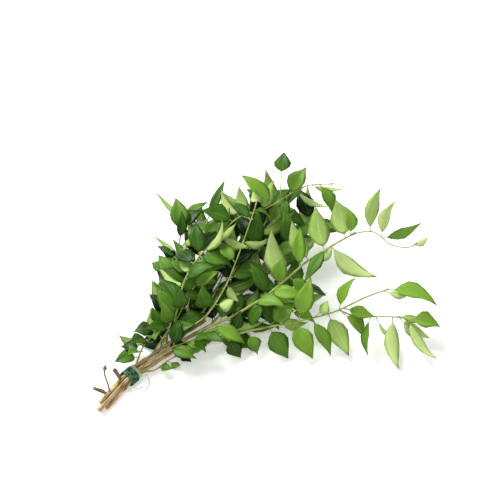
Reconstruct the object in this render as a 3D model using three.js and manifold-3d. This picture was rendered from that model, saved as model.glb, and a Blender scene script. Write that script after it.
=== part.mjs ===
// A tied bunch of fresh curry leaf branches, lying on a surface. Millimetres, +Z up, X along its length.
import * as THREE from 'three';
import Module from 'manifold-3d';

const wasm = await Module();
wasm.setup();

// Driving dimensions
const STEM_RADIUS = 2.1;
const STEM_TAPER = 0.8;
const STEM_GAP = 0.4;
const BAND_WIDTH = 9;
const BAND_THICKNESS = 1.1;
const STRING_RADIUS = 0.7;
const PETIOLE_RADIUS = 0.5;
const PETIOLE_LENGTH = 4;
const BLADE_THICKNESS = 0.7;
const BLADE_FOLD = 0.22;
const BLADE_ARCH = 0.1;
const ROUND_BASE = 0.9;
const DRIP_TIP = 1.4;
const GAP = 0.3;
const LEAF_ROOM = 0.5;
const TO_CENTRE = [-6, 15, 0];

const { degToRad, radToDeg } = THREE.MathUtils;
const vec = (x, y, z) => new THREE.Vector3(x, y, z);
const UP = vec(0, 0, 1);

// ---------- skins ----------

// A closed skin over a row of rings that all have the same corners. The last ring may be one point.
function skin(rings, looped = false) {
  const places = rings.flat().flatMap((p) => [p.x, p.y, p.z]);
  const faces = [];
  const sides = rings[0].length;
  const last = rings.length - 1;
  const steps = looped ? rings.length : last;
  for (let i = 0; i < steps; i += 1) {
    const here = i * sides;
    const next = ((i + 1) % rings.length) * sides;
    for (let k = 0; k < sides; k += 1) {
      const m = (k + 1) % sides;
      if (rings[(i + 1) % rings.length].length === 1) {
        faces.push(here + k, here + m, next);
      } else {
        faces.push(here + k, here + m, next + m, here + k, next + m, next + k);
      }
    }
  }
  if (!looped) {
    for (let k = 1; k < sides - 1; k += 1) {
      faces.push(0, k + 1, k);
      if (rings[last].length > 1) {
        faces.push(last * sides, last * sides + k, last * sides + k + 1);
      }
    }
  }
  return new wasm.Manifold(new wasm.Mesh({
    numProp: 3,
    vertProperties: new Float32Array(places),
    triVerts: new Uint32Array(faces),
  }));
}

const route = (points) => new THREE.CatmullRomCurve3(points.map((p) => vec(...p)), false, 'catmullrom', 0.5);

// A round, tapered tube along a curve.
function tube(curve, startRadius, endRadius, steps, sides) {
  const rings = [];
  const across = curve.getTangent(0).cross(UP).add(vec(0.01, 0, 0)).normalize();
  for (let i = 0; i <= steps; i += 1) {
    const along = curve.getTangent(i / steps);
    across.addScaledVector(along, -across.dot(along)).normalize();
    const over = along.clone().cross(across);
    const radius = startRadius + (endRadius - startRadius) * (i / steps);
    const centre = curve.getPoint(i / steps);
    rings.push(Array.from({ length: sides }, (_, k) => {
      const turn = (2 * Math.PI * k) / sides;
      return centre.clone()
        .addScaledVector(across, radius * Math.cos(turn))
        .addScaledVector(over, radius * Math.sin(turn));
    }));
  }
  return skin(rings);
}

// ---------- woody stems ----------

// The middle line of the bundle: place, how far the stems have spread, and the height of the lower row.
const BUNDLE = [
  { at: [-153, -134], spread: 1, height: 2.2 },
  { at: [-128, -100], spread: 1, height: 3.9 },
  { at: [-109, -82], spread: 1, height: 4.2 },
  { at: [-84, -63], spread: 1.15, height: 6 },
  { at: [-54, -45], spread: 1.8, height: 9 },
];
// Each stem's place in the bundle: to the right of the middle line, above the lower row, and its cut end.
const STEMS = [
  { side: -1, row: 0, cut: 6 },
  { side: 0, row: 0, cut: -3 },
  { side: 1, row: 0, cut: 3 },
  { side: -0.5, row: 1, cut: 2 },
  { side: 0.5, row: 1, cut: -4 },
];
const PITCH = 2 * STEM_RADIUS + STEM_GAP;
const ROW_RISE = PITCH * Math.sqrt(0.75);

function stemRoute({ side, row, cut }) {
  return route(BUNDLE.map(({ at, spread, height }, i) => {
    const from = BUNDLE[Math.max(i - 1, 0)].at;
    const to = BUNDLE[Math.min(i + 1, BUNDLE.length - 1)].at;
    const along = vec(to[0] - from[0], to[1] - from[1], 0).normalize();
    const place = vec(at[0], at[1], height + row * ROW_RISE * spread);
    place.addScaledVector(vec(along.y, -along.x, 0), side * PITCH * spread);
    if (i === 0) {
      place.addScaledVector(along, cut);
    }
    return place.toArray();
  }));
}

const stemRoutes = STEMS.map(stemRoute);

// ---------- leaves ----------

const OUTLINE_PEAK = (() => {
  const widest = ROUND_BASE / (ROUND_BASE + DRIP_TIP);
  return widest ** ROUND_BASE * (1 - widest) ** DRIP_TIP;
})();
const outline = (s) => (s ** ROUND_BASE * (1 - s) ** DRIP_TIP) / OUTLINE_PEAK;
const BLADE_STATIONS = [0.16, 0.4, 0.72];

// A leaf from its foot on the twig: a thin petiole, then a folded, arched blade that ends in a drip tip.
function leafSkin(foot, { long, wide, heading, rise, roll, petiole }, thickness) {
  const flat = degToRad(heading);
  const climb = degToRad(rise);
  const chord = vec(Math.cos(climb) * Math.cos(flat), Math.cos(climb) * Math.sin(flat), Math.sin(climb));
  const face = UP.clone().addScaledVector(chord, -UP.dot(chord)).normalize();
  face.applyAxisAngle(chord, degToRad(roll));
  const side = chord.clone().cross(face);
  const tip = foot.clone().addScaledVector(chord, long);
  const crown = foot.clone().lerp(tip, 0.5).addScaledVector(face, 2 * BLADE_ARCH * long);
  const midrib = new THREE.QuadraticBezierCurve3(foot, crown, tip);
  const ring = (u, half, depth) => {
    const centre = midrib.getPoint(u);
    const normal = side.clone().cross(midrib.getTangent(u)).normalize();
    const edge = centre.clone().addScaledVector(normal, half * BLADE_FOLD);
    return [
      centre.clone().addScaledVector(normal, depth),
      edge.clone().addScaledVector(side, half),
      centre.clone().addScaledVector(normal, -depth),
      edge.clone().addScaledVector(side, -half),
    ];
  };
  const stalk = petiole / long;
  const rings = [ring(0, PETIOLE_RADIUS, PETIOLE_RADIUS), ring(stalk, PETIOLE_RADIUS, PETIOLE_RADIUS)];
  for (const s of BLADE_STATIONS) {
    rings.push(ring(stalk + s * (1 - stalk), (wide / 2) * outline(s), thickness / 2));
  }
  rings.push([tip]);
  return skin(rings);
}

// The ways a leaf can swing aside to stay clear of its neighbours: change of heading and of rise.
const LEANS = [[0, 0], [0, 7], [0, -7], [9, 0], [-9, 0], [9, 9], [-9, 9], [0, 14], [0, -14], [18, 0],
  [-18, 0], [18, 14], [-18, 14], [0, 22], [0, -22], [28, 8], [-28, 8], [28, -12], [-28, -12],
  [0, 32], [40, 16], [-40, 16], [40, -8], [-40, -8], [0, 44], [55, 20], [-55, 20]];

const placed = [];

function apart(a, b) {
  const one = a.boundingBox();
  const two = b.boundingBox();
  return [0, 1, 2].some((axis) => one.min[axis] > two.max[axis] || two.min[axis] > one.max[axis]);
}

const clear = (solid, others) => others.every((other) => (
  apart(solid, other) || solid.intersect(other).isEmpty()));

// The first lean that keeps the leaf off the surface below and off everything already in place.
function growLeaf(foot, leaf, ownTwig) {
  for (const [swing, lift] of LEANS) {
    const leaning = { ...leaf, heading: leaf.heading + swing, rise: leaf.rise + lift };
    const roomy = leafSkin(foot, leaning, BLADE_THICKNESS + LEAF_ROOM);
    if (roomy.boundingBox().min[2] > 0 && clear(roomy, placed.filter((other) => other !== ownTwig))) {
      return leafSkin(foot, leaning, BLADE_THICKNESS);
    }
  }
  return null;
}

// ---------- leafy shoots ----------

// Each shoot grows from a stem or another shoot, at a share of its length, and runs through its points.
// Leaves are [place along the shoot, length, width, heading, rise, roll, and the petiole where it is long].
// A roll of 180 turns the pale side up.
const SHOOTS = [
  {
    name: 'lower_branch', from: ['stem', 2, 0.78], radius: [1.3, 0.6], apartLeaves: true,
    points: [[-61, -65, 12], [-32, -60, 16], [1, -55, 22], [36, -51, 28], [69, -44, 33], [100, -30, 38],
      [124, -21, 40]],
    leaves: [[0.27, 24, 18, -48, -30, 12], [0.36, 24, 16, -60, -30, -14], [0.45, 35, 22, -52, -32, 14],
      [0.54, 39, 21, -54, -32, 12], [0.62, 41, 14, -56, -34, 14], [0.69, 44, 22, -58, -32, 180],
      [0.57, 44, 20, 71, 37, 0], [0.64, 20, 16, 31, 50, 170], [0.74, 35, 13, 53, 48, -15],
      [0.46, 33, 20, 34, 22, 10], [0.37, 32, 17, 52, 32, -10], [0.3, 24, 13, 62, 40, 15],
      [0.76, 30, 13, -12, -10, 24], [0.97, 28, 13, -2, 2, 175], [1, 48, 20, -20, -12, 0]],
  },
  {
    name: 'lower_fork', from: ['shoot', 0, 0.735], radius: [0.9, 0.5], apartLeaves: true,
    points: [[87, -45, 29], [106, -46, 28], [124, -46, 28], [141, -48, 27]],
    leaves: [[0.1, 32, 17, -34, -28, -12], [0.48, 40, 11, -114, -28, 50], [0.56, 31, 9, -34, -30, 150],
      [0.78, 52, 16, -86, -26, 172], [0.86, 30, 14, 8, 2, 165], [0.9, 34, 16, -24, -24, 180],
      [1, 50, 14, -52, -20, 165], [1, 32, 18, -10, -10, 10]],
  },
  {
    name: 'upper_branch', from: ['stem', 4, 0.82], radius: [1.5, 0.75],
    points: [[-47, -54, 26], [-27, -46, 31], [1, -30, 38], [23, -13, 45], [44, 4, 52], [67, 18, 58],
      [93, 33, 62]],
    leaves: [[0.86, 56, 21, -29, -22, 180], [0.82, 44, 23, 104, 36, 180], [0.94, 40, 25, 108, 40, 172],
      [0.66, 42, 15, 88, 26, 5], [0.56, 53, 23, 110, 38, 190], [0.72, 44, 19, 116, 42, 175],
      [0.97, 30, 14, 104, 46, 10], [0.52, 30, 17, 78, 50, 0], [0.59, 34, 17, -26, -42, 12],
      [0.5, 28, 16, -18, -34, 170], [0.83, 42, 13, -134, -28, 0], [0.88, 30, 14, -160, -30, 180],
      [0.4, 36, 18, -40, -30, 0], [0.44, 38, 19, 120, 30, 15]],
    fill: { count: 11, from: 0.1, to: 0.5, long: 34, wide: 18, rise: -16 },
  },
  {
    name: 'tip_spray', from: ['shoot', 2, 0.985], radius: [0.6, 0.45],
    points: [[105, 31, 66], [115, 27, 65], [126, 17, 62], [143, 15, 60], [153, 21, 61]],
    leaves: [[0.22, 45, 16, 70, 54, 215], [0.44, 39, 13, 62, 44, 215], [0.47, 42, 14, 12, 20, 80],
      [0.86, 20, 8, 24, 16, 180]],
  },
  {
    name: 'arching_shoot', from: ['stem', 3, 0.72], radius: [1.15, 0.5],
    points: [[-84, -44, 32], [-77, -17, 45], [-66, 3, 53], [-55, 16, 58], [-39, 33, 64], [-23, 48, 68],
      [-3, 54, 70], [20, 70, 70], [44, 92, 66], [75, 101, 60]],
    leaves: [[0.92, 36, 9, 2, -12, 178], [0.86, 42, 10, -22, -12, 170], [0.82, 30, 11, -100, -24, 0],
      [0.75, 44, 20, 138, 24, 10], [0.79, 50, 18, 84, 38, -8, 29], [0.83, 34, 20, 55, 24, 0],
      [0.71, 36, 15, 42, 28, 175], [0.67, 38, 12, 150, 18, 185], [0.6, 34, 15, 128, 30, 172],
      [0.56, 34, 24, 170, 18, 0], [0.46, 35, 13, 67, 42, 180], [0.64, 30, 13, 112, 34, 180],
      [0.48, 34, 13, -20, -8, 176], [0.36, 42, 15, 40, 46, 150], [0.33, 36, 21, -12, -12, 0],
      [0.43, 34, 10, 20, 36, 180], [0.95, 36, 15, -60, -34, 0], [0.9, 34, 14, -120, -30, 8]],
    fill: { count: 14, from: 0.03, to: 0.36, long: 36, wide: 19, rise: -12 },
  },
  {
    name: 'left_shoot', from: ['stem', 0, 0.68], radius: [1.1, 0.5],
    points: [[-93, -40, 14], [-91, -12, 24], [-86, 27, 34], [-83, 54, 38], [-82, 76, 40]],
    leaves: [[0.8, 38, 20, 100, 26, 0], [0.97, 32, 10, 30, 12, 0], [0.84, 30, 17, 34, 46, 0],
      [0.95, 44, 6, 134, 14, 178], [0.62, 32, 6, 143, 6, 180], [0.57, 30, 10, 138, -8, 20],
      [0.46, 32, 16, 119, 12, 0], [0.6, 26, 11, -140, -34, 0], [0.72, 30, 11, 84, 44, 10],
      [0.66, 30, 13, 16, 38, 176]],
    fill: { count: 11, from: 0.05, to: 0.5, long: 31, wide: 18, rise: 2 },
  },
  {
    name: 'curling_shoot', from: ['stem', 3, 0.8], radius: [1, 0.5],
    points: [[-72, -22, 26], [-66, 8, 36], [-61, 34, 44], [-57, 56, 48], [-52, 76, 49]],
    leaves: [[0.34, 30, 17, 151, 12, 0], [0.28, 38, 17, 150, -6, 8], [0.22, 22, 9, 172, 18, 178],
      [0.86, 46, 10, 66, 22, 10]],
    fill: { count: 11, from: 0.06, to: 0.7, long: 34, wide: 18, rise: 8 },
  },
  {
    name: 'front_shoot', from: ['stem', 4, 0.74], radius: [0.8, 0.5],
    points: [[-68, -58, 28], [-53, -49, 37], [-38, -29, 49], [-27, -4, 58], [-12, 34, 78], [-6, 54, 84]],
    leaves: [[0.4, 20, 16, 4, 16, 180], [0.54, 22, 11, -44, -40, 176]],
    fill: { count: 7, from: 0.5, to: 1, long: 32, wide: 15, rise: -24 },
  },
  {
    name: 'inner_shoot_1', from: ['stem', 3, 0.97], radius: [1.1, 0.5],
    points: [[-34, -5, 34], [-10, 32, 43], [6, 64, 50], [16, 84, 54]],
    leaves: [],
    fill: { count: 20, from: 0.04, to: 0.97, long: 40, wide: 20, rise: 16 },
  },
  {
    name: 'inner_shoot_2', from: ['stem', 4, 1], radius: [1.1, 0.5],
    points: [[-20, -12, 26], [10, 22, 32], [34, 52, 36], [54, 74, 38]],
    leaves: [],
    fill: { count: 20, from: 0.04, to: 1, long: 40, wide: 20, rise: 14 },
  },
  {
    name: 'inner_shoot_3', from: ['stem', 2, 1], radius: [1, 0.5],
    points: [[-18, -34, 12], [12, -16, 15], [34, -2, 17]],
    leaves: [],
    fill: { count: 14, from: 0.04, to: 1, long: 36, wide: 19, rise: -2 },
  },
  {
    name: 'inner_shoot_4', from: ['stem', 1, 1], radius: [1, 0.5],
    points: [[-26, -14, 16], [0, 12, 19], [20, 40, 20], [30, 66, 20]],
    leaves: [],
    fill: { count: 18, from: 0.04, to: 1, long: 38, wide: 20, rise: 6 },
  },
  {
    name: 'inner_shoot_5', from: ['stem', 0, 0.8], radius: [1, 0.5],
    points: [[-78, -26, 14], [-70, 6, 19], [-62, 34, 23], [-53, 58, 25]],
    leaves: [],
    fill: { count: 18, from: 0.04, to: 1, long: 38, wide: 19, rise: 8 },
  },
  {
    name: 'inner_shoot_6', from: ['stem', 3, 0.88], radius: [1, 0.5],
    points: [[-50, -22, 27], [-38, 8, 31], [-26, 40, 34], [-14, 68, 36]],
    leaves: [],
    fill: { count: 18, from: 0.04, to: 1, long: 38, wide: 20, rise: 14 },
  },
  {
    name: 'inner_shoot_7', from: ['stem', 2, 0.82], radius: [1, 0.5],
    points: [[-44, -53, 10], [-16, -47, 13], [12, -39, 16], [38, -28, 19]],
    leaves: [],
    fill: { count: 14, from: 0.04, to: 0.9, long: 32, wide: 17, rise: 2 },
  },
  {
    name: 'inner_shoot_8', from: ['stem', 3, 0.6], radius: [0.9, 0.5],
    points: [[-84, -46, 24], [-76, -32, 32], [-68, -18, 38]],
    leaves: [],
    fill: { count: 10, from: 0.08, to: 1, long: 30, wide: 18, rise: 12 },
  },
  {
    name: 'back_shoot_1', from: ['stem', 0, 0.62], radius: [1, 0.5],
    points: [[-95, -46, 7], [-93, -20, 9], [-91, 6, 10], [-88, 32, 10]],
    leaves: [],
    fill: { count: 13, from: 0.08, to: 1, long: 29, wide: 17, rise: 6 },
  },
  {
    name: 'back_shoot_2', from: ['stem', 0, 0.92], radius: [1, 0.5],
    points: [[-52, 0, 9], [-38, 30, 10], [-24, 58, 10], [-14, 78, 9]],
    leaves: [],
    fill: { count: 16, from: 0.08, to: 1, long: 38, wide: 19, rise: 8 },
  },
  {
    name: 'small_shoot_1', from: ['stem', 3, 0.34], radius: [0.9, 0.5],
    points: [[-116, -76, 18], [-106, -62, 21], [-98, -50, 24]],
    leaves: [[0.75, 22, 18, -174, 8, 0], [0.4, 28, 14, 160, 2, 176], [0.3, 22, 14, 150, -16, 0],
      [0.9, 20, 12, 120, 34, 10], [1, 22, 14, 60, 20, 0], [0.16, 24, 17, -160, 24, 0],
      [0.26, 22, 16, -128, 38, 8], [0.5, 25, 18, -148, 34, 0], [0.6, 24, 16, -70, 44, 0],
      [0.7, 26, 17, 100, 14, 178]],
  },
  {
    name: 'small_shoot_2', from: ['stem', 3, 0.52], radius: [0.9, 0.5],
    points: [[-92, -56, 20], [-88, -40, 24], [-86, -26, 24]],
    leaves: [[0.35, 26, 16, -150, 18, 0], [0.6, 24, 14, 70, 40, 178]],
    fill: { count: 9, from: 0.2, to: 1, long: 30, wide: 17, rise: 14 },
  },
  {
    name: 'small_shoot_3', from: ['stem', 4, 0.55], radius: [0.9, 0.5],
    points: [[-88, -76, 18], [-74, -70, 19], [-60, -66, 20]],
    leaves: [],
    fill: { count: 10, from: 0.2, to: 1, long: 28, wide: 16, rise: 4 },
  },
  {
    name: 'small_shoot_4', from: ['stem', 2, 0.36], radius: [0.9, 0.5],
    points: [[-104, -92, 4], [-91, -81, 5], [-78, -74, 6]],
    leaves: [[0.4, 16, 10, -14, 16, 0], [0.62, 15, 9, -20, 0, 175], [1, 18, 12, 14, 4, 0],
      [0.86, 16, 10, -24, -4, 0]],
  },
];

// Alternate leaves along a stretch of the shoot, no two of them quite alike.
const GOLDEN = 0.618034;
const SQUARE_ROOT_OF_TWO = 1.414214;
const SPREAD_ANGLE = 58;
const SPREAD_CHANGE = 26;
const RISE_SPREAD = 70;
const RISE_MIDDLE = 0.45;
const SHORTEST = 0.9;
const LONGER_BY = 0.26;
const NARROWER_BY = 0.2;
const PALE_SIDE_FROM = 0.66;
const ROLL_SPREAD = 44;

function filledLeaves(curve, { count, from, to, long, wide, rise }) {
  return Array.from({ length: count }, (_, i) => {
    const share = (i * GOLDEN) % 1;
    const place = from + ((to - from) * i) / (count - 1);
    const along = curve.getTangent(place);
    const side = i % 2 === 0 ? 1 : -1;
    const forward = radToDeg(Math.atan2(along.y, along.x));
    const heading = forward + side * (SPREAD_ANGLE - SPREAD_CHANGE * share);
    return [place, long * (SHORTEST + LONGER_BY * share), wide * (1 - NARROWER_BY * share), heading,
      rise + RISE_SPREAD * (((i * SQUARE_ROOT_OF_TWO) % 1) - RISE_MIDDLE),
      share > PALE_SIDE_FROM ? 180 : ROLL_SPREAD * (share - PALE_SIDE_FROM / 2)];
  });
}

const SHOOT_STEPS = 3;
const STEM_STEPS = 9;
const parents = { stem: stemRoutes, shoot: [] };

const meshes = [];
function addMesh(name, solid, colour, roughness) {
  const { vertProperties, triVerts } = solid.getMesh();
  const geometry = new THREE.BufferGeometry();
  geometry.setAttribute('position', new THREE.BufferAttribute(new Float32Array(vertProperties), 3));
  geometry.setIndex(new THREE.BufferAttribute(new Uint32Array(triVerts), 1));
  geometry.computeVertexNormals();
  const material = new THREE.MeshStandardMaterial({ color: colour, roughness, metalness: 0 });
  const mesh = new THREE.Mesh(geometry, material);
  mesh.name = name;
  meshes.push(mesh);
}

const largest = (solid) => solid.decompose().reduce((a, b) => (a.volume() > b.volume() ? a : b));

// ---------- the bunch, put together ----------

const STEM_COLOUR = 0xb08a52;
const STEM_SIDES = 8;
const stemSolids = stemRoutes.map((curve) => (
  tube(curve, STEM_RADIUS, STEM_RADIUS * STEM_TAPER, STEM_STEPS, STEM_SIDES)));
stemSolids.forEach((solid, i) => addMesh(`woody_stem_${i + 1}`, solid, STEM_COLOUR, 0.75));
placed.push(...stemSolids);

// The tie: a green band round all the stems, and string wound twice beside it.
const TIE_AT = 0.25;
const TIE_MIDDLE = vec(-128, -100, 0);
const TIE_ALONG = vec(0.69, 0.72, 0).normalize();
const TIE_ACROSS = vec(TIE_ALONG.y, -TIE_ALONG.x, 0);

// One turn round the stems, at a distance from them and a distance along the bundle.
function turnRound(distance, along, corners) {
  const centres = stemRoutes.map((curve) => {
    const near = curve.getPoint(TIE_AT);
    return near.addScaledVector(TIE_ALONG, along - near.clone().sub(TIE_MIDDLE).dot(TIE_ALONG));
  });
  return Array.from({ length: corners }, (_, k) => {
    const turn = (2 * Math.PI * (k + 0.5)) / corners;
    const out = TIE_ACROSS.clone().multiplyScalar(Math.cos(turn)).addScaledVector(UP, Math.sin(turn));
    const outermost = centres.reduce((a, b) => (a.dot(out) > b.dot(out) ? a : b));
    return outermost.clone().addScaledVector(out, STEM_RADIUS + distance);
  });
}

const TURN_CORNERS = 16;
const BAND_COLOUR = 0x1f6b4c;
const BAND_CLEAR = 0.4;
const bandRings = [[BAND_CLEAR, -1], [BAND_CLEAR + BAND_THICKNESS, -1], [BAND_CLEAR + BAND_THICKNESS, 1],
  [BAND_CLEAR, 1]].map(([distance, end]) => turnRound(distance, (end * BAND_WIDTH) / 2, TURN_CORNERS));
const band = skin(bandRings[0].map((_, k) => bandRings.map((ring) => ring[k])), true);
addMesh('green_band', band, BAND_COLOUR, 0.5);
placed.push(band);

const STRING_COLOUR = 0xcfe3c8;
const STRING_SIDES = 5;
const STRING_PLACES = [6.2, 8.4];
const stringTurns = STRING_PLACES.map((along) => {
  const sections = Array.from({ length: STRING_SIDES }, (_, j) => {
    const turn = (2 * Math.PI * j) / STRING_SIDES;
    const distance = BAND_CLEAR + STRING_RADIUS * (1 - Math.cos(turn));
    return turnRound(distance, along - STRING_RADIUS * Math.sin(turn), TURN_CORNERS);
  });
  return skin(sections[0].map((_, k) => sections.map((ring) => ring[k])), true);
});
stringTurns.forEach((turn, i) => addMesh(`string_turn_${i + 1}`, turn, STRING_COLOUR, 0.6));
placed.push(...stringTurns);

const KNOT = vec(-112, -101, 9);
const knot = tube(route([[-1.8, 0, 0], [-0.6, 0, 1], [0.8, 0, 0.6], [1.8, 0, -0.6]].map(([x, y, z]) => (
  KNOT.clone().add(vec(x, y, z)).toArray()))), 1.5, 1.3, 4, 7);
addMesh('string_knot', knot, STRING_COLOUR, 0.6);
placed.push(knot);
const TAILS = [
  [[-114.5, -103.5, 8], [-118, -107, 6.5], [-123, -111, 4], [-128, -114.5, 1.2]],
  [[-110.2, -103.4, 8], [-108.5, -106.5, 6], [-109, -110, 3.2], [-112, -113, 1]],
];
TAILS.forEach((points, i) => {
  const tail = tube(route(points), STRING_RADIUS, STRING_RADIUS, 7, STRING_SIDES);
  addMesh(`string_tail_${i + 1}`, tail, STRING_COLOUR, 0.6);
  placed.push(tail);
});

// Dry side twigs left on the stems below the tie.
const DRY_COLOUR = 0x7d6a45;
const inflatedStems = stemRoutes.map((curve) => (
  tube(curve, STEM_RADIUS + GAP, STEM_RADIUS * STEM_TAPER + GAP, STEM_STEPS, STEM_SIDES)));
const offStems = (solid) => largest(inflatedStems.reduce((rest, stem) => rest.subtract(stem), solid));
const DRY_TWIGS = [
  {
    name: 'dry_twig', radius: [0.8, 0.9],
    points: [[-145, -120, 9], [-147, -116, 20], [-148.5, -114, 31], [-147, -113, 41]],
  },
  { name: 'dry_stub', radius: [1.4, 1.1], points: [[-148, -121, 7], [-154, -118, 9], [-161, -117, 10]] },
  { name: 'dry_knob', radius: [1.5, 1.9], points: [[-136, -106, 9], [-139, -102, 14], [-142, -100, 17]] },
];
for (const { name, points, radius } of DRY_TWIGS) {
  const twig = offStems(tube(route(points), ...radius, 5, 6)).subtract(band);
  addMesh(name, twig, DRY_COLOUR, 0.85);
  placed.push(twig);
}

const TWIG_COLOUR = 0x93a04c;
const TWIG_SIDES = 6;
const grown = SHOOTS.map((shoot) => {
  const [kind, index, share] = shoot.from;
  const points = [parents[kind][index].getPoint(share).toArray(), ...shoot.points];
  const curve = route(points);
  parents.shoot.push(curve);
  const steps = SHOOT_STEPS * (points.length - 1);
  let twig = offStems(tube(curve, ...shoot.radius, steps, TWIG_SIDES));
  if (kind === 'shoot') {
    const [thick, thin] = SHOOTS[index].radius;
    twig = largest(twig.subtract(tube(parents.shoot[index], thick + GAP, thin + GAP, 24, TWIG_SIDES)));
  }
  placed.push(twig);
  return { ...shoot, curve, twig, body: twig, leafCount: 0 };
});

const LEAF_COLOURS = [0x2f6b2a, 0x9dbb57];
const radiusAt = (shoot, place) => shoot.radius[0] + (shoot.radius[1] - shoot.radius[0]) * place;

function addLeaf(shoot, [place, long, wide, heading, rise, roll, petiole = PETIOLE_LENGTH]) {
  const flat = degToRad(heading);
  const climb = degToRad(rise);
  const out = vec(Math.cos(climb) * Math.cos(flat), Math.cos(climb) * Math.sin(flat), Math.sin(climb));
  const along = shoot.curve.getTangent(place);
  const clearance = shoot.apartLeaves ? (radiusAt(shoot, place) + GAP + PETIOLE_RADIUS) : 0;
  const sideways = out.clone().addScaledVector(along, -out.dot(along)).normalize();
  const foot = shoot.curve.getPoint(place).addScaledVector(place === 1 ? out : sideways, clearance);
  const ownTwig = shoot.apartLeaves ? null : shoot.twig;
  const leaf = growLeaf(foot, { long, wide, heading, rise, roll, petiole }, ownTwig);
  if (leaf === null) {
    return;
  }
  placed.push(leaf);
  shoot.leafCount += 1;
  if (shoot.apartLeaves) {
    addMesh(`${shoot.name}_leaf_${shoot.leafCount}`, leaf, LEAF_COLOURS[roll > 90 ? 1 : 0], 0.5);
  } else {
    shoot.body = shoot.body.add(leaf);
  }
}

grown.forEach((shoot) => shoot.leaves.forEach((leaf) => addLeaf(shoot, leaf)));
grown.filter((shoot) => shoot.fill).forEach((shoot) => (
  filledLeaves(shoot.curve, shoot.fill).forEach((leaf) => addLeaf(shoot, leaf))));
grown.forEach(({ name, body, apartLeaves }) => {
  addMesh(name, body, apartLeaves ? TWIG_COLOUR : LEAF_COLOURS[0], 0.6);
});

const bunch = new THREE.Group();
bunch.name = 'curry_leaf_bunch';
bunch.add(...meshes);
bunch.position.set(...TO_CENTRE);

export default bunch;
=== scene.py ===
import math

import bmesh
import bpy
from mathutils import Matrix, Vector


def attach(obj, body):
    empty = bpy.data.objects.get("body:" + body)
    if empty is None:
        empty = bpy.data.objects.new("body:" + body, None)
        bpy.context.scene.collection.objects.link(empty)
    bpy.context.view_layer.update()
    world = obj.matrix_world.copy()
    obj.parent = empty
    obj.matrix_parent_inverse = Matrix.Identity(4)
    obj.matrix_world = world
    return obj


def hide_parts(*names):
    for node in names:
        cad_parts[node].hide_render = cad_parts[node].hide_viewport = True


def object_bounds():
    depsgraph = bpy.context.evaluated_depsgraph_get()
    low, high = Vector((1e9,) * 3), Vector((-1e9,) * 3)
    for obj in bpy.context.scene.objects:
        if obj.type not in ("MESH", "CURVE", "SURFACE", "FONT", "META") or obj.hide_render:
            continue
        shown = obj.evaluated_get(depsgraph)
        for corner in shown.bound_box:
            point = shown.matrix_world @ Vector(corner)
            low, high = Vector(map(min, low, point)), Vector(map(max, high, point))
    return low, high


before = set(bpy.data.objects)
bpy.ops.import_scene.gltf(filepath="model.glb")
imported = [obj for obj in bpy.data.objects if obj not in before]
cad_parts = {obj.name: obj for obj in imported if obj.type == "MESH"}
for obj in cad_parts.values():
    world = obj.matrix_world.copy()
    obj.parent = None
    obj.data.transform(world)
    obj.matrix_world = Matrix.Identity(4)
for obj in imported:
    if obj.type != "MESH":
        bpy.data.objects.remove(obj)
cad_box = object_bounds()

# The camera looks down at the bunch as at something on a table, with the cut ends at its left.
# A long lens keeps the far leaves nearly as large as the near ones.
CAMERA_TARGET = Vector((-0.0186, 0.0770, 0.0))
CAMERA_DISTANCE = 1.239
CAMERA_ELEVATION = math.radians(50)
CAMERA_LENS = 85

back_off = Vector((0, -math.cos(CAMERA_ELEVATION), math.sin(CAMERA_ELEVATION)))
bpy.ops.object.camera_add(location=CAMERA_TARGET + CAMERA_DISTANCE * back_off)
camera = bpy.context.object
camera.name = "camera"
camera.rotation_euler = (math.pi / 2 - CAMERA_ELEVATION, 0, 0)
camera.data.lens = CAMERA_LENS
bpy.context.scene.camera = camera
bpy.context.scene.view_settings.view_transform = "Standard"


# Table top: a wide matt white board, lit faintly from below so that it stays white under the bunch.
# Its slight unevenness is only in the gloss, so that shadows stay clean and pale.
def new_material(name, base, roughness):
    material = bpy.data.materials.new(name)
    material.use_nodes = True
    shader = material.node_tree.nodes["Principled BSDF"]
    shader.inputs["Base Color"].default_value = (*base, 1)
    shader.inputs["Roughness"].default_value = roughness
    return material, material.node_tree, shader


def add_node(tree, kind, **values):
    """A node of that kind, its properties and sockets set by name."""
    node = tree.nodes.new(kind)
    for name, value in values.items():
        if hasattr(node, name):
            setattr(node, name, value)
        else:
            node.inputs[name.replace("_", " ")].default_value = value
    return node


def noise(tree, coordinates, scale, detail=3.0):
    texture = add_node(tree, "ShaderNodeTexNoise", Scale=scale, Detail=detail)
    tree.links.new(coordinates, texture.inputs["Vector"])
    return texture.outputs["Fac"]


def ramp(tree, factor, stops):
    """A colour ramp through (place, colour) stops."""
    node = tree.nodes.new("ShaderNodeValToRGB")
    elements = node.color_ramp.elements
    elements[0].position, elements[0].color = stops[0][0], (*stops[0][1], 1)
    elements[1].position, elements[1].color = stops[-1][0], (*stops[-1][1], 1)
    for place, colour in stops[1:-1]:
        elements.new(place).color = (*colour, 1)
    tree.links.new(factor, node.inputs["Fac"])
    return node.outputs["Color"]


def span(tree, value, low, high, to_low=0.0, to_high=1.0):
    """The value, taken from one range to another and held inside it."""
    node = add_node(tree, "ShaderNodeMapRange")
    limits = {"From Min": low, "From Max": high, "To Min": to_low, "To Max": to_high}
    for socket, limit in limits.items():
        node.inputs[socket].default_value = limit
    tree.links.new(value, node.inputs["Value"])
    return node.outputs["Result"]


def maths(tree, operation, *values):
    """One math node on sockets or plain numbers."""
    node = add_node(tree, "ShaderNodeMath", operation=operation)
    for i, value in enumerate(values):
        if isinstance(value, (int, float)):
            node.inputs[i].default_value = value
        else:
            tree.links.new(value, node.inputs[i])
    return node.outputs["Value"]


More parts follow.
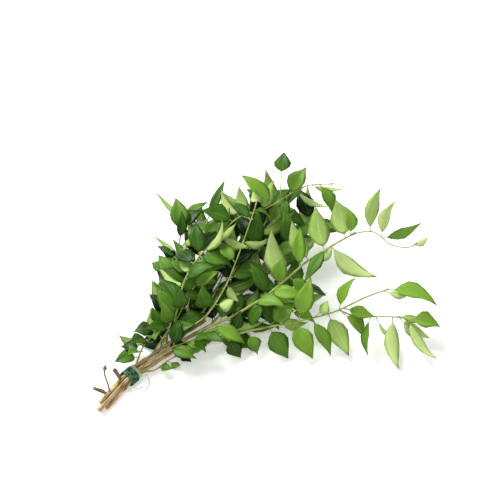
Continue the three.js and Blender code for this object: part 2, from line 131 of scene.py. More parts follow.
def mixed(tree, factor, one, other):
    """One colour blended into the other by a factor; each is a socket or three numbers."""
    node = add_node(tree, "ShaderNodeMix", data_type="RGBA")
    if isinstance(factor, (int, float)):
        node.inputs["Factor"].default_value = factor
    else:
        tree.links.new(factor, node.inputs["Factor"])
    for socket, colour in ((node.inputs[6], one), (node.inputs[7], other)):
        if isinstance(colour, tuple):
            socket.default_value = (*colour, 1)
        else:
            tree.links.new(colour, socket)
    return node.outputs[2]


def bumped(tree, shader, height, strength, distance):
    node = add_node(tree, "ShaderNodeBump", Strength=strength, Distance=distance)
    tree.links.new(height, node.inputs["Height"])
    tree.links.new(node.outputs["Normal"], shader.inputs["Normal"])


FLOOR_SIZE = 12.0
FLOOR_GLOW = 0.3

bpy.ops.object.select_all(action="DESELECT")
bpy.ops.mesh.primitive_plane_add(size=FLOOR_SIZE)
floor = bpy.context.object
floor.name = "table_top"
table_white, tree, shader = new_material("table_white", (0.93, 0.93, 0.93), 0.6)
place = tree.nodes.new("ShaderNodeTexCoord").outputs["Object"]
tree.links.new(span(tree, noise(tree, place, 30), 0.3, 0.7, 0.55, 0.7), shader.inputs["Roughness"])
shader.inputs["Emission Color"].default_value = (1, 1, 1, 1)
shader.inputs["Emission Strength"].default_value = FLOOR_GLOW
floor.data.materials.append(table_white)


# Studio light: a wide soft box above and behind at the left, a weaker one in front at the right,
# and white walls all round. Shadows are pale and fall towards the front right.
LIGHTS = [
    {"name": "main_soft_box", "place": (-0.9, 0.9, 1.6), "size": 1.1, "power": 46},
    {"name": "front_soft_box", "place": (0.5, -1.2, 1.7), "size": 1.6, "power": 8},
]
WALL_LIGHT = 0.45

for light in LIGHTS:
    bpy.ops.object.light_add(type="AREA", location=light["place"])
    soft_box = bpy.context.object
    soft_box.name = light["name"]
    soft_box.data.size = light["size"]
    soft_box.data.energy = light["power"]
    soft_box.rotation_euler = (-Vector(light["place"])).to_track_quat("-Z", "Y").to_euler()

world = bpy.data.worlds.new("white_studio")
bpy.context.scene.world = world
world.use_nodes = True
world.node_tree.nodes["Background"].inputs["Color"].default_value = (1, 1, 1, 1)
world.node_tree.nodes["Background"].inputs["Strength"].default_value = WALL_LIGHT


# Woody stems: five tan branches about 4 mm thick, with ridged bark, cut straight across at the bottom end.
# They lie three below and two on top, closest at the tie, and fan out under the leaves. Lengths are in
# millimetres from here on, and TO_CENTRE moves every place so that the bunch lies over the origin.
MM = 0.001
TO_CENTRE = Vector((-6, 15, 0))
SMOOTH_UP_TO = math.radians(50)
STEM_RADIUS = 2.1
STEM_TAPER = 0.8
STEM_GAP = 0.4
STEM_SIDES = 16
STEM_STEPS = 60
STEM_KNOTS = 0.16
STEM_BENDS = 0.06
DEEP_RIDGE = 0.12
FINE_RIDGE = 0.06
END_SQUARENESS = 0.97
BUNDLE = [
    {"at": (-153, -134), "spread": 1, "height": 2.2},
    {"at": (-128, -100), "spread": 1, "height": 3.9},
    {"at": (-109, -82), "spread": 1, "height": 4.2},
    {"at": (-84, -63), "spread": 1.15, "height": 6},
    {"at": (-54, -45), "spread": 1.8, "height": 9},
]
STEMS = [
    {"side": -1, "row": 0, "cut": 6},
    {"side": 0, "row": 0, "cut": -3},
    {"side": 1, "row": 0, "cut": 3},
    {"side": -0.5, "row": 1, "cut": 2},
    {"side": 0.5, "row": 1, "cut": -4},
]
PITCH = 2 * STEM_RADIUS + STEM_GAP
ROW_RISE = PITCH * math.sqrt(0.75)


def along_route(points, share):
    """A place on the smooth curve through the points, at a share of the way along it."""
    reach = share * (len(points) - 1)
    i = min(int(reach), len(points) - 2)
    t = reach - i
    before = points[i - 1] if i > 0 else 2 * points[0] - points[1]
    start, end = points[i], points[i + 1]
    after = points[i + 2] if i + 2 < len(points) else 2 * points[-1] - points[-2]
    return 0.5 * (2 * start + (end - before) * t + (2 * before - 5 * start + 4 * end - after) * t**2
                  + (3 * start - before - 3 * end + after) * t**3)


def heading_along(points, share):
    """The direction of the curve at a share of the way along it."""
    step = 0.002
    ahead = along_route(points, min(share + step, 1))
    return (ahead - along_route(points, max(share - step, 0))).normalized()


def stem_route(stem):
    """The stem's points, worked out from the bundle's middle line and the stem's place in it."""
    points = []
    for i, station in enumerate(BUNDLE):
        ahead = Vector(BUNDLE[min(i + 1, len(BUNDLE) - 1)]["at"])
        along = (ahead - Vector(BUNDLE[max(i - 1, 0)]["at"])).normalized()
        point = Vector((*station["at"], station["height"] + stem["row"] * ROW_RISE * station["spread"]))
        point += Vector((along.y, -along.x, 0)) * stem["side"] * PITCH * station["spread"]
        if i == 0:
            point += Vector((*along, 0)) * stem["cut"]
        points.append(point)
    return points


def bent_grid(name, across, along, place):
    """A grid of faces laid through place(u, v), with its own UV map."""
    bpy.ops.object.select_all(action="DESELECT")
    bpy.ops.mesh.primitive_grid_add(x_subdivisions=across, y_subdivisions=along, size=2)
    piece = bpy.context.object
    piece.name = name
    piece.data.name = name
    for vertex in piece.data.vertices:
        u, v = (vertex.co.x + 1) / 2, (vertex.co.y + 1) / 2
        vertex.co = (place(u, v) + TO_CENTRE) * MM
    return piece


def close_up(piece, with_ends=True):
    """Joins the long edges of a rolled grid, closes its ends and turns its faces outwards."""
    bpy.ops.object.select_all(action="DESELECT")
    piece.select_set(True)
    bpy.context.view_layer.objects.active = piece
    bpy.ops.object.mode_set(mode="EDIT")
    bpy.ops.mesh.select_all(action="SELECT")
    bpy.ops.mesh.remove_doubles(threshold=1e-6)
    if with_ends:
        bpy.ops.mesh.select_all(action="DESELECT")
        bpy.ops.mesh.select_mode(type="EDGE")
        bpy.ops.mesh.select_non_manifold(extend=False)
        bpy.ops.mesh.fill()
    bpy.ops.mesh.select_all(action="SELECT")
    bpy.ops.mesh.normals_make_consistent(inside=False)
    bpy.ops.object.mode_set(mode="OBJECT")
    bpy.ops.object.shade_smooth()
    bpy.ops.object.shade_smooth_by_angle(angle=SMOOTH_UP_TO)


def rod(name, points, radius_at, around, along):
    """A round rod along a route; radius_at(share, turn) gives its radius there."""
    frames = []
    sideways = heading_along(points, 0).cross(Vector((0, 0, 1)))
    if sideways.length < 0.1:
        sideways = Vector((1, 0, 0))
    for i in range(along + 1):
        ahead = heading_along(points, i / along)
        sideways = (sideways - ahead * sideways.dot(ahead)).normalized()
        frames.append((along_route(points, i / along), sideways, ahead.cross(sideways)))

    def place(u, v):
        centre, side, over = frames[round(v * along)]
        turn = 2 * math.pi * u
        return centre + radius_at(v, turn) * (side * math.cos(turn) + over * math.sin(turn))

    piece = bent_grid(name, around, along, place)
    close_up(piece)
    return piece


def bark_material(name, pale, tan, dark, ridges):
    """Bark on the UV map, whose V runs along the stem: long fibres with painted shade and highlights, dark
    blotches and small pale spots.
    """
    material, tree, shader = new_material(name, tan, 0.75)
    coordinates = tree.nodes.new("ShaderNodeTexCoord")
    stretch = add_node(tree, "ShaderNodeMapping")
    stretch.inputs["Scale"].default_value = (ridges, 5, 1)
    tree.links.new(coordinates.outputs["UV"], stretch.inputs["Vector"])
    fibres = noise(tree, stretch.outputs["Vector"], 3.0, 8.0)
    blotches = noise(tree, coordinates.outputs["Object"], 90.0, 4.0)
    spots = noise(tree, coordinates.outputs["Object"], 900.0, 2.0)
    # The darkest fibre colour lies in the bump's hollows and is dark bark with painted crevice shade; the
    # palest lies on its crowns and is pale bark with a painted highlight.
    colour = ramp(tree, fibres, [(0.34, dark), (0.47, tan), (0.64, pale)])
    colour = mixed(tree, span(tree, blotches, 0.4, 0.75, 0.0, 0.6), colour, dark)
    colour = mixed(tree, span(tree, spots, 0.66, 0.72, 0.0, 0.5), colour, pale)
    tree.links.new(colour, shader.inputs["Base Color"])
    tree.links.new(span(tree, fibres, 0.3, 0.7, 0.85, 0.6), shader.inputs["Roughness"])
    bumped(tree, shader, maths(tree, "ADD", fibres, maths(tree, "MULTIPLY", spots, 0.3)), 0.6, 0.0008)
    return material


STEM_BARK = bark_material("stem_bark", (0.86, 0.70, 0.40), (0.54, 0.36, 0.13), (0.06, 0.028, 0.008), 4)


def cut_wood_material():
    """Fresh cut wood: pale, with fine darker grain and stained browner in patches."""
    material, tree, shader = new_material("cut_wood", (0.55, 0.42, 0.22), 0.8)
    place = tree.nodes.new("ShaderNodeTexCoord").outputs["Object"]
    grain = noise(tree, place, 1100, 4)
    stained = noise(tree, place, 300, 2)
    dark_grain, wood, pale_grain = (0.26, 0.16, 0.06), (0.52, 0.38, 0.18), (0.72, 0.58, 0.34)
    colour = ramp(tree, grain, [(0.3, dark_grain), (0.5, wood), (0.7, pale_grain)])
    colour = mixed(tree, span(tree, stained, 0.45, 0.7, 0.0, 0.6), colour, (0.20, 0.12, 0.05))
    tree.links.new(colour, shader.inputs["Base Color"])
    tree.links.new(span(tree, grain, 0.3, 0.7, 0.9, 0.7), shader.inputs["Roughness"])
    bumped(tree, shader, grain, 0.5, 0.0004)
    return material


CUT_WOOD = cut_wood_material()

stem_routes = [stem_route(stem) for stem in STEMS]
for number, points in enumerate(stem_routes, start=1):
    def stem_radius(share, turn, number=number):
        tapered = STEM_RADIUS * (1 - (1 - STEM_TAPER) * share)
        knots = STEM_KNOTS * math.sin(9 * share * math.pi + number) ** 8
        bends = STEM_BENDS * math.sin(21 * share)
        ridge = DEEP_RIDGE * math.sin(3 * turn + 5 * share + number)
        ridge += FINE_RIDGE * math.sin(7 * turn - 9 * share)
        return tapered * (0.93 + knots + bends) + ridge

    stem = rod(f"stem_{number}", points, stem_radius, STEM_SIDES, STEM_STEPS)
    stem.data.materials.append(STEM_BARK)
    stem.data.materials.append(CUT_WOOD)
    for face in stem.data.polygons:
        if abs(face.normal.dot(heading_along(points, 0))) > END_SQUARENESS:
            face.material_index = 1
    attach(stem, "root")
    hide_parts(f"woody_stem_{number}")


# Dry side twigs: thin, dead, grey-brown spurs left on the stems when the leaves below the tie were
# stripped. One stands up with a swollen end; two are short stubs.
DRY_TWIGS = [
    {"name": "dry_twig", "radius": (0.8, 0.9), "swelling": 1.2,
     "points": [(-145, -120, 9), (-147, -116, 20), (-148.5, -114, 31), (-147, -113, 41)]},
    {"name": "dry_stub", "radius": (1.4, 1.1), "swelling": 0.5,
     "points": [(-148, -121, 7), (-154, -118, 9), (-161, -117, 10)]},
    {"name": "dry_knob", "radius": (1.5, 1.9), "swelling": 0.2,
     "points": [(-136, -106, 9), (-139, -102, 14), (-142, -100, 17)]},
]
SPUR_SIDES = 12
SPUR_STEPS = 28
SWOLLEN_AT = 0.9
SWOLLEN_OVER = 0.09
DEEP_WRINKLE = 0.12
FINE_WRINKLE = 0.1
DRY_BARK = bark_material("dry_bark", (0.40, 0.31, 0.17), (0.20, 0.15, 0.07), (0.07, 0.05, 0.025), 3)

for spur in DRY_TWIGS:
    thick, thin = spur["radius"]

    def spur_radius(share, turn, spur=spur, thick=thick, thin=thin):
        knob = spur["swelling"] * math.exp(-((share - SWOLLEN_AT) / SWOLLEN_OVER) ** 2)
        wrinkle = DEEP_WRINKLE * math.sin(3 * turn + 11 * share) + FINE_WRINKLE * math.sin(31 * share + turn)
        return (thick + (thin - thick) * share + knob) * (0.9 + wrinkle)

    points = [Vector(p) for p in spur["points"]]
    twig = rod(f"{spur['name']}_bark", points, spur_radius, SPUR_SIDES, SPUR_STEPS)
    twig.data.materials.append(DRY_BARK)
    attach(twig, "root")
    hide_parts(spur["name"])


# Green band: soft plant tape wound round all five stems and pulled tight, so that it creases along its
# length. It is thin, slightly shiny, and its two edges roll outwards.
TIE_AT = 0.25
TIE_MIDDLE = Vector((-128, -100, 0))
TIE_ALONG = Vector((0.69, 0.72, 0)).normalized()
TIE_ACROSS = Vector((TIE_ALONG.y, -TIE_ALONG.x, 0))
TIE_UP = Vector((0, 0, 1))
BAND_WIDTH = 9.0
BAND_THICKNESS = 0.8
BAND_CLEAR = 0.45
BAND_LOWEST = 0.9
BAND_ACROSS = 22
BAND_ROUND = 96
EDGE_ROLL = 0.35
DEEP_CREASE = 0.22
FINE_CREASE = 0.14
BAND_SLANT = 0.9


def turn_round(distance, along, share):
    """A place on a turn wound round all the stems, at a distance from them and along the bundle."""
    turn = 2 * math.pi * share
    out = TIE_ACROSS * math.cos(turn) + TIE_UP * math.sin(turn)
    touched = []
    for points in stem_routes:
        near = along_route(points, TIE_AT)
        near = near + TIE_ALONG * (along - (near - TIE_MIDDLE).dot(TIE_ALONG))
        touched.append(near)
    outermost = max(touched, key=lambda centre: centre.dot(out))
    return outermost + out * (STEM_RADIUS + distance), out


def band_place(u, v):
    rolled = EDGE_ROLL * (2 * u - 1) ** 6
    crease = DEEP_CREASE * math.sin(17 * u + 3 * math.sin(4 * math.pi * v))
    crease += FINE_CREASE * math.sin(40 * u + 25 * v)
    slant = BAND_SLANT * math.sin(2 * math.pi * v)
    outside = BAND_CLEAR + BAND_THICKNESS + rolled + crease
    spot, _ = turn_round(outside, (u - 0.5) * BAND_WIDTH + slant, v)
    return Vector((spot.x, spot.y, max(spot.z, BAND_LOWEST)))


band = bent_grid("band", BAND_ACROSS, BAND_ROUND, band_place)
close_up(band, with_ends=False)
thickness = band.modifiers.new("thickness", "SOLIDIFY")
thickness.thickness = BAND_THICKNESS * MM
thickness.offset = -1
bpy.ops.object.modifier_apply(modifier="thickness")
band_tape, tree, shader = new_material("band_tape", (0.02, 0.09, 0.03), 0.4)
place = tree.nodes.new("ShaderNodeTexCoord").outputs["Object"]
cloudy = noise(tree, place, 260, 4)
fine = noise(tree, place, 1500, 2)
# The tape's green wanders in clouds from a dark painted crease shade, where the bump sinks, to a pale
# painted highlight, where it rises.
painted_crease_shade, face_green, painted_highlight = (0.003, 0.022, 0.010), (0.012, 0.105, 0.040), (0.10, 0.36, 0.17)
tape = ramp(tree, cloudy, [(0.38, painted_crease_shade), (0.5, face_green), (0.64, painted_highlight)])
tree.links.new(tape, shader.inputs["Base Color"])
tree.links.new(span(tree, fine, 0.3, 0.7, 0.3, 0.55), shader.inputs["Roughness"])
bumped(tree, shader, cloudy, 0.5, 0.0006)
band.data.materials.append(band_tape)
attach(band, "root")
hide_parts("green_band")


# String: pale green-white two-ply twine, wound twice round the stems beside the band and knotted in
# front. Its two cut ends hang down to the table. The knot's route is a trefoil.
STRING_RADIUS = 0.62
STRING_PLACES = (6.2, 8.4)
STRING_TWISTS = 34
STRING_SIDES = 8
STRING_STEPS = 220
STRING_WANDER = 0.7
PLY_HOLLOW = 0.78
PLY_CROWN = 0.3
KNOT = Vector((-112, -101, 9))
KNOT_LOOP = 0.399
KNOT_POINTS = 32
KNOT_STEPS = 90
KNOT_TWISTS = 12
TAIL_STEPS = 60
TAIL_TWISTS = 8
FRAYED_FROM = 0.9
FRAY = 0.5
TAILS = [
    [(-114.5, -103.5, 8), (-118, -107, 6.5), (-123, -111, 4), (-128, -114.5, 1.2)],
    [(-110.2, -103.4, 8), (-108.5, -106.5, 6), (-109, -110, 3.2), (-112, -113, 1)],
]

twine, tree, shader = new_material("twine", (0.66, 0.78, 0.62), 0.8)
place = tree.nodes.new("ShaderNodeTexCoord").outputs["Object"]
hairs = noise(tree, place, 2600, 4)
soiled = noise(tree, place, 140, 3)
groove, ply, crown = (0.34, 0.48, 0.33), (0.62, 0.76, 0.58), (0.85, 0.92, 0.80)
fibres = ramp(tree, hairs, [(0.3, groove), (0.5, ply), (0.7, crown)])
fibres = mixed(tree, span(tree, soiled, 0.5, 0.8, 0, 0.5), fibres, (0.36, 0.55, 0.34))
tree.links.new(fibres, shader.inputs["Base Color"])
tree.links.new(span(tree, hairs, 0.3, 0.7, 0.9, 0.7), shader.inputs["Roughness"])
bumped(tree, shader, hairs, 0.5, 0.0003)


def two_ply(share, turn, twists=STRING_TWISTS):
    return STRING_RADIUS * (PLY_HOLLOW + PLY_CROWN * abs(math.cos(turn - math.pi * twists * share)))


for number, along in enumerate(STRING_PLACES, start=1):
    def string_place(u, v, along=along):
        turn = 2 * math.pi * u
        radius = two_ply(v, turn)
        wandering = along + STRING_WANDER * math.sin(4 * math.pi * v + along)
        middle, out = turn_round(BAND_CLEAR + STRING_RADIUS, wandering, v)
        return middle + out * (radius * math.cos(turn)) - TIE_ALONG * (radius * math.sin(turn))

    wound = bent_grid(f"string_{number}", STRING_SIDES, STRING_STEPS, string_place)
    close_up(wound, with_ends=False)
    wound.data.materials.append(twine)
    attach(wound, "root")
    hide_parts(f"string_turn_{number}")

knot_route = []
for i in range(KNOT_POINTS + 1):
    turn = 4 * math.pi * i / KNOT_POINTS
    ring = 2 + math.cos(1.5 * turn)
    on_ring = Vector((ring * math.cos(turn), 1.4 * math.sin(1.5 * turn), ring * math.sin(turn)))
    knot_route.append(KNOT + KNOT_LOOP * on_ring)


def knot_radius(share, turn):
    return two_ply(share, turn, KNOT_TWISTS)


knot = rod("knot", knot_route, knot_radius, STRING_SIDES, KNOT_STEPS)
knot.data.materials.append(twine)
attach(knot, "root")
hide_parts("string_knot")

for number, points in enumerate(TAILS, start=1):
    def tail_radius(share, turn):
        frayed = FRAY * max(share - FRAYED_FROM, 0) / (1 - FRAYED_FROM)
        return two_ply(share, turn, TAIL_TWISTS) * (1 + frayed)

    tail = rod(f"string_end_{number}", [Vector(p) for p in points], tail_radius, STRING_SIDES, TAIL_STEPS)
    tail.data.materials.append(twine)
    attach(tail, "root")
    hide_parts(f"string_tail_{number}")


# Twigs: smooth yellow-green young wood, browner where it leaves the old stem, with swellings at even
# steps and a small bud at the end. Each grows from a stem or another twig at a share of its length.
SHOOTS = [
    {"name": "lower_branch", "from": ("stem", 2, 0.78), "radius": (1.3, 0.6),
     "points": [(-61, -65, 12), (-32, -60, 16), (1, -55, 22), (36, -51, 28), (69, -44, 33), (100, -30, 38),
                (124, -21, 40)]},
    {"name": "lower_fork", "from": ("shoot", 0, 0.735), "radius": (0.9, 0.5),
     "points": [(87, -45, 29), (106, -46, 28), (124, -46, 28), (141, -48, 27)]},
    {"name": "upper_branch", "from": ("stem", 4, 0.82), "radius": (1.5, 0.75),
     "points": [(-47, -54, 26), (-27, -46, 31), (1, -30, 38), (23, -13, 45), (44, 4, 52), (67, 18, 58),
                (93, 33, 62)]},
    {"name": "tip_spray", "from": ("shoot", 2, 0.985), "radius": (0.6, 0.45),
     "points": [(105, 31, 66), (115, 27, 65), (126, 17, 62), (143, 15, 60), (153, 21, 61)]},
    {"name": "arching_shoot", "from": ("stem", 3, 0.72), "radius": (1.15, 0.5),
     "points": [(-84, -44, 32), (-77, -17, 45), (-66, 3, 53), (-55, 16, 58), (-39, 33, 64), (-23, 48, 68),
                (-3, 54, 70), (20, 70, 70), (44, 92, 66), (75, 101, 60)]},
    {"name": "left_shoot", "from": ("stem", 0, 0.68), "radius": (1.1, 0.5),
     "points": [(-93, -40, 14), (-91, -12, 24), (-86, 27, 34), (-83, 54, 38), (-82, 76, 40)]},
    {"name": "curling_shoot", "from": ("stem", 3, 0.8), "radius": (1, 0.5),
     "points": [(-72, -22, 26), (-66, 8, 36), (-61, 34, 44), (-57, 56, 48), (-52, 76, 49)]},
    {"name": "front_shoot", "from": ("stem", 4, 0.74), "radius": (0.8, 0.5),
     "points": [(-68, -58, 28), (-53, -49, 37), (-38, -29, 49), (-27, -4, 58), (-12, 34, 78), (-6, 54, 84)]},
    {"name": "inner_shoot_1", "from": ("stem", 3, 0.97), "radius": (1.1, 0.5),
     "points": [(-34, -5, 34), (-10, 32, 43), (6, 64, 50), (16, 84, 54)]},
    {"name": "inner_shoot_2", "from": ("stem", 4, 1), "radius": (1.1, 0.5),
     "points": [(-20, -12, 26), (10, 22, 32), (34, 52, 36), (54, 74, 38)]},
    {"name": "inner_shoot_3", "from": ("stem", 2, 1), "radius": (1, 0.5),
     "points": [(-18, -34, 12), (12, -16, 15), (34, -2, 17)]},
    {"name": "inner_shoot_4", "from": ("stem", 1, 1), "radius": (1, 0.5),
     "points": [(-26, -14, 16), (0, 12, 19), (20, 40, 20), (30, 66, 20)]},
    {"name": "inner_shoot_5", "from": ("stem", 0, 0.8), "radius": (1, 0.5),
     "points": [(-78, -26, 14), (-70, 6, 19), (-62, 34, 23), (-53, 58, 25)]},
    {"name": "inner_shoot_6", "from": ("stem", 3, 0.88), "radius": (1, 0.5),
     "points": [(-50, -22, 27), (-38, 8, 31), (-26, 40, 34), (-14, 68, 36)]},
    {"name": "inner_shoot_7", "from": ("stem", 2, 0.82), "radius": (1, 0.5),
     "points": [(-44, -53, 10), (-16, -47, 13), (12, -39, 16), (38, -28, 19)]},
    {"name": "inner_shoot_8", "from": ("stem", 3, 0.6), "radius": (0.9, 0.5),
     "points": [(-84, -46, 24), (-76, -32, 32), (-68, -18, 38)]},
    {"name": "back_shoot_1", "from": ("stem", 0, 0.62), "radius": (1, 0.5),
     "points": [(-95, -46, 7), (-93, -20, 9), (-91, 6, 10), (-88, 32, 10)]},
    {"name": "back_shoot_2", "from": ("stem", 0, 0.92), "radius": (1, 0.5),
     "points": [(-52, 0, 9), (-38, 30, 10), (-24, 58, 10), (-14, 78, 9)]},
    {"name": "small_shoot_1", "from": ("stem", 3, 0.34), "radius": (0.9, 0.5),
     "points": [(-116, -76, 18), (-106, -62, 21), (-98, -50, 24)]},
    {"name": "small_shoot_2", "from": ("stem", 3, 0.52), "radius": (0.9, 0.5),
     "points": [(-92, -56, 20), (-88, -40, 24), (-86, -26, 24)]},
    {"name": "small_shoot_3", "from": ("stem", 4, 0.55), "radius": (0.9, 0.5),
     "points": [(-88, -76, 18), (-74, -70, 19), (-60, -66, 20)]},
    {"name": "small_shoot_4", "from": ("stem", 2, 0.36), "radius": (0.9, 0.5),
     "points": [(-104, -92, 4), (-91, -81, 5), (-78, -74, 6)]},
]
TWIG_SIDES = 10
TWIG_STEP = 2.5
JOINT_EVERY = 14
JOINT_SWELLING = 0.22
BUD_LENGTH = 2.2
BUD_SWELLING = 0.9
POINT_LENGTH = 1.6
BLUNTNESS = 0.25


def twig_material():
    material, tree, shader = new_material("twig_bark", (0.36, 0.38, 0.10), 0.5)
    coordinates = tree.nodes.new("ShaderNodeTexCoord")
    split = tree.nodes.new("ShaderNodeSeparateXYZ")
    tree.links.new(coordinates.outputs["UV"], split.inputs["Vector"])
    old = span(tree, split.outputs["Y"], 0.0, 0.4, 1.0, 0.0)
    patches = noise(tree, coordinates.outputs["Object"], 120, 4)
    specks = noise(tree, coordinates.outputs["Object"], 1400, 2)
    greens = (0.17, 0.24, 0.03), (0.32, 0.39, 0.07), (0.50, 0.54, 0.17)
    browns = (0.16, 0.12, 0.03), (0.34, 0.27, 0.08), (0.52, 0.43, 0.17)
    young = ramp(tree, patches, list(zip((0.3, 0.5, 0.7), greens)))
    woody = ramp(tree, patches, list(zip((0.3, 0.5, 0.7), browns)))
    colour = mixed(tree, maths(tree, "MULTIPLY", old, 0.6), young, woody)
    colour = mixed(tree, span(tree, specks, 0.62, 0.7, 0.0, 0.5), colour, (0.20, 0.13, 0.05))
    tree.links.new(colour, shader.inputs["Base Color"])
    tree.links.new(span(tree, specks, 0.3, 0.7, 0.42, 0.62), shader.inputs["Roughness"])
    bumped(tree, shader, maths(tree, "ADD", patches, specks), 0.35, 0.0004)
    return material


TWIG_BARK = twig_material()

twig_routes = []
for shoot in SHOOTS:
    parents = stem_routes if shoot["from"][0] == "stem" else twig_routes
    root = along_route(parents[shoot["from"][1]], shoot["from"][2])
    points = [root] + [Vector(p) for p in shoot["points"]]
    twig_routes.append(points)
    length = sum((b - a).length for a, b in zip(points, points[1:]))
    thick, thin = shoot["radius"]

    def twig_radius(share, turn, thick=thick, thin=thin, length=length):
        to_end = (1 - share) * length
        joint = JOINT_SWELLING * math.cos(2 * math.pi * share * length / JOINT_EVERY) ** 12
        bud = BUD_SWELLING * math.exp(-(to_end / BUD_LENGTH - 0.9) ** 2)
        point = min(1, BLUNTNESS + to_end / POINT_LENGTH)
        tapered = thick + (thin - thick) * share
        return tapered * (0.94 + joint + bud) * point + 0.04 * math.sin(3 * turn)

    twig = rod(f"{shoot['name']}_twig", points, twig_radius, TWIG_SIDES, round(length / TWIG_STEP))
    twig.data.materials.append(TWIG_BARK)
    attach(twig, "root")
    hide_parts(shoot["name"])


# Leaves: each is a thin petiole and a blade folded a little along its midrib, round at the foot and
# drawn out to a drip tip. Upper faces are dark and waxy, undersides pale and matt. All are one blank
# bent to place.
BLANK_ACROSS = 4
BLANK_STATIONS = (0, 0.09, 0.24, 0.42, 0.62, 0.82, 1)
PETIOLE_SIDES = 4
SHARP_EDGE = math.radians(100)
BLADE_HALF_THICKNESS = 0.16
MIDRIB_DEPTH = 0.5
RIB_SHARPNESS = 6
RIB_TAPER = 0.6
ABOVE_TABLE = 0.2
PETIOLE_RADIUS = 0.5
PETIOLE_ROOT = 1.4
ROUND_BASE = 0.9
DRIP_TIP = 1.4
WIDEST = ROUND_BASE / (ROUND_BASE + DRIP_TIP)
PEAK = WIDEST**ROUND_BASE * (1 - WIDEST) ** DRIP_TIP
OUTLINE_ENDS = (0.004, 0.995)
UPPER, UNDER, STALK = 0, 1, 2


def leaf_outline(s):
    """Half width at a share of the blade's length, 1 at the widest."""
    return s**ROUND_BASE * (1 - s) ** DRIP_TIP / PEAK


def leaf_blank():
    """The flat blank. x runs across it from -1 to 1, and y from -1 at the petiole's foot through 0 at the
    blade's foot to 1 at the tip."""
    bpy.ops.object.select_all(action="DESELECT")
    rows = len(BLANK_STATIONS) - 1
    bpy.ops.mesh.primitive_grid_add(x_subdivisions=BLANK_ACROSS, y_subdivisions=rows, size=2)
    blade = bpy.context.object
    for vertex in blade.data.vertices:
        vertex.co.y = BLANK_STATIONS[round((vertex.co.y + 1) / 2 * rows)]
    skin = blade.modifiers.new("skin", "SOLIDIFY")
    skin.thickness = 2
    skin.offset = 0
    bpy.ops.object.modifier_apply(modifier="skin")
    bm = bmesh.new()
    bm.from_mesh(blade.data)
    for vertex in bm.verts:
        if abs(vertex.co.x) > 0.99 or not 0.001 < vertex.co.y < 0.999:
            vertex.co.z = 0
    bmesh.ops.remove_doubles(bm, verts=bm.verts, dist=0.001)
    bm.to_mesh(blade.data)
    bm.free()
    bpy.ops.mesh.primitive_cylinder_add(
        vertices=PETIOLE_SIDES, radius=1, depth=1, end_fill_type="NGON",
        location=(0, -0.501, 0), rotation=(math.pi / 2, 0, 0))
    bpy.ops.object.transform_apply(location=True, rotation=True, scale=True)
    blade.select_set(True)
    bpy.context.view_layer.objects.active = blade
    bpy.ops.object.join()
    bpy.ops.object.shade_smooth_by_angle(angle=SHARP_EDGE)
    blank = blade.data.copy()
    for material in (LEAF_UPPER, LEAF_UNDER, TWIG_BARK):
        blank.materials.append(material)
    for face in blank.polygons:
        face.material_index = STALK if face.center.y < 0 else UPPER if face.normal.z > 0 else UNDER
    bpy.data.objects.remove(blade)
    return blank


# Where a blade's shape is read off the solid: shares of its length, and the limits, in millimetres, that
# tell a blade from a twig.
READ_AT = 0.4
READ_NEAR_TIP = 0.72
NARROWEST_LEAF = 4
DEEPEST_SPINE = 1
PETIOLE_LENGTH = 4


def ring_parts(ring):
    """A blade ring's two sides, the middle of its thin spine and the spine's depth."""
    corners = [v.co.copy() for v in ring]
    pairs = [(a, b) for i, a in enumerate(corners) for b in corners[i + 1:]]
    right, left = max(pairs, key=lambda pair: (pair[0] - pair[1]).length)
    top, bottom = (c for c in corners if c not in (right, left))
    return right, left, (top + bottom) / 2, (top - bottom).length


def on_midrib(tip, near_tip, middle, s):
    """A place on the midrib, a smooth bow through its tip and two stations of it."""
    return (tip * (s - READ_NEAR_TIP) * (s - READ_AT) / ((1 - READ_NEAR_TIP) * (1 - READ_AT))
            + near_tip * (s - 1) * (s - READ_AT) / ((READ_NEAR_TIP - 1) * (READ_NEAR_TIP - READ_AT))
            + middle * (s - 1) * (s - READ_NEAR_TIP) / ((READ_AT - 1) * (READ_AT - READ_NEAR_TIP)))


def read_leaves(node):
    """Every leaf in a CAD node, found from its tip: its foot, middle, sides, upper face and where it joins
    the twig. Where the twig runs through the foot of a blade, the foot is worked out from the midrib."""
    bm = bmesh.new()
    bm.from_mesh(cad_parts[node].data)
    bmesh.ops.remove_doubles(bm, verts=bm.verts, dist=2e-6)
    found = []
    for tip in bm.verts:
        rings = [{tip}]
        while len(rings) < 5:
            near = {e.other_vert(v) for v in rings[-1] for e in v.link_edges}
            ring = near - rings[-1] - (rings[-2] if len(rings) > 1 else set())
            if len(ring) != 4:
                break
            rings.append(ring)
        if len(rings) < 3:
            continue
        right, left, middle, depth = ring_parts(rings[2])
        if (right - left).length < NARROWEST_LEAF * MM or depth > DEEPEST_SPINE * MM:
            continue
        if len(rings) == 5:
            foot = sum((v.co for v in rings[4]), Vector()) / 4
            joins = {e.other_vert(v) for v in rings[4] for e in v.link_edges} - rings[4] - rings[3]
            if not joins:
                continue
            join = sum((v.co for v in joins), Vector()) / len(joins)
        else:
            _, _, near_tip, _ = ring_parts(rings[1])
            foot = on_midrib(tip.co, near_tip, middle, 0)
            past_foot = on_midrib(tip.co, near_tip, middle, READ_AT / 4)
            join = foot - (past_foot - foot).normalized() * PETIOLE_LENGTH * MM
        found.append({
            "tip": tip.co.copy(), "middle": middle, "right": right, "left": left,
            "upper": ((right + left) / 2 - middle).normalized(), "foot": foot, "join": join})
    bm.free()
    return found


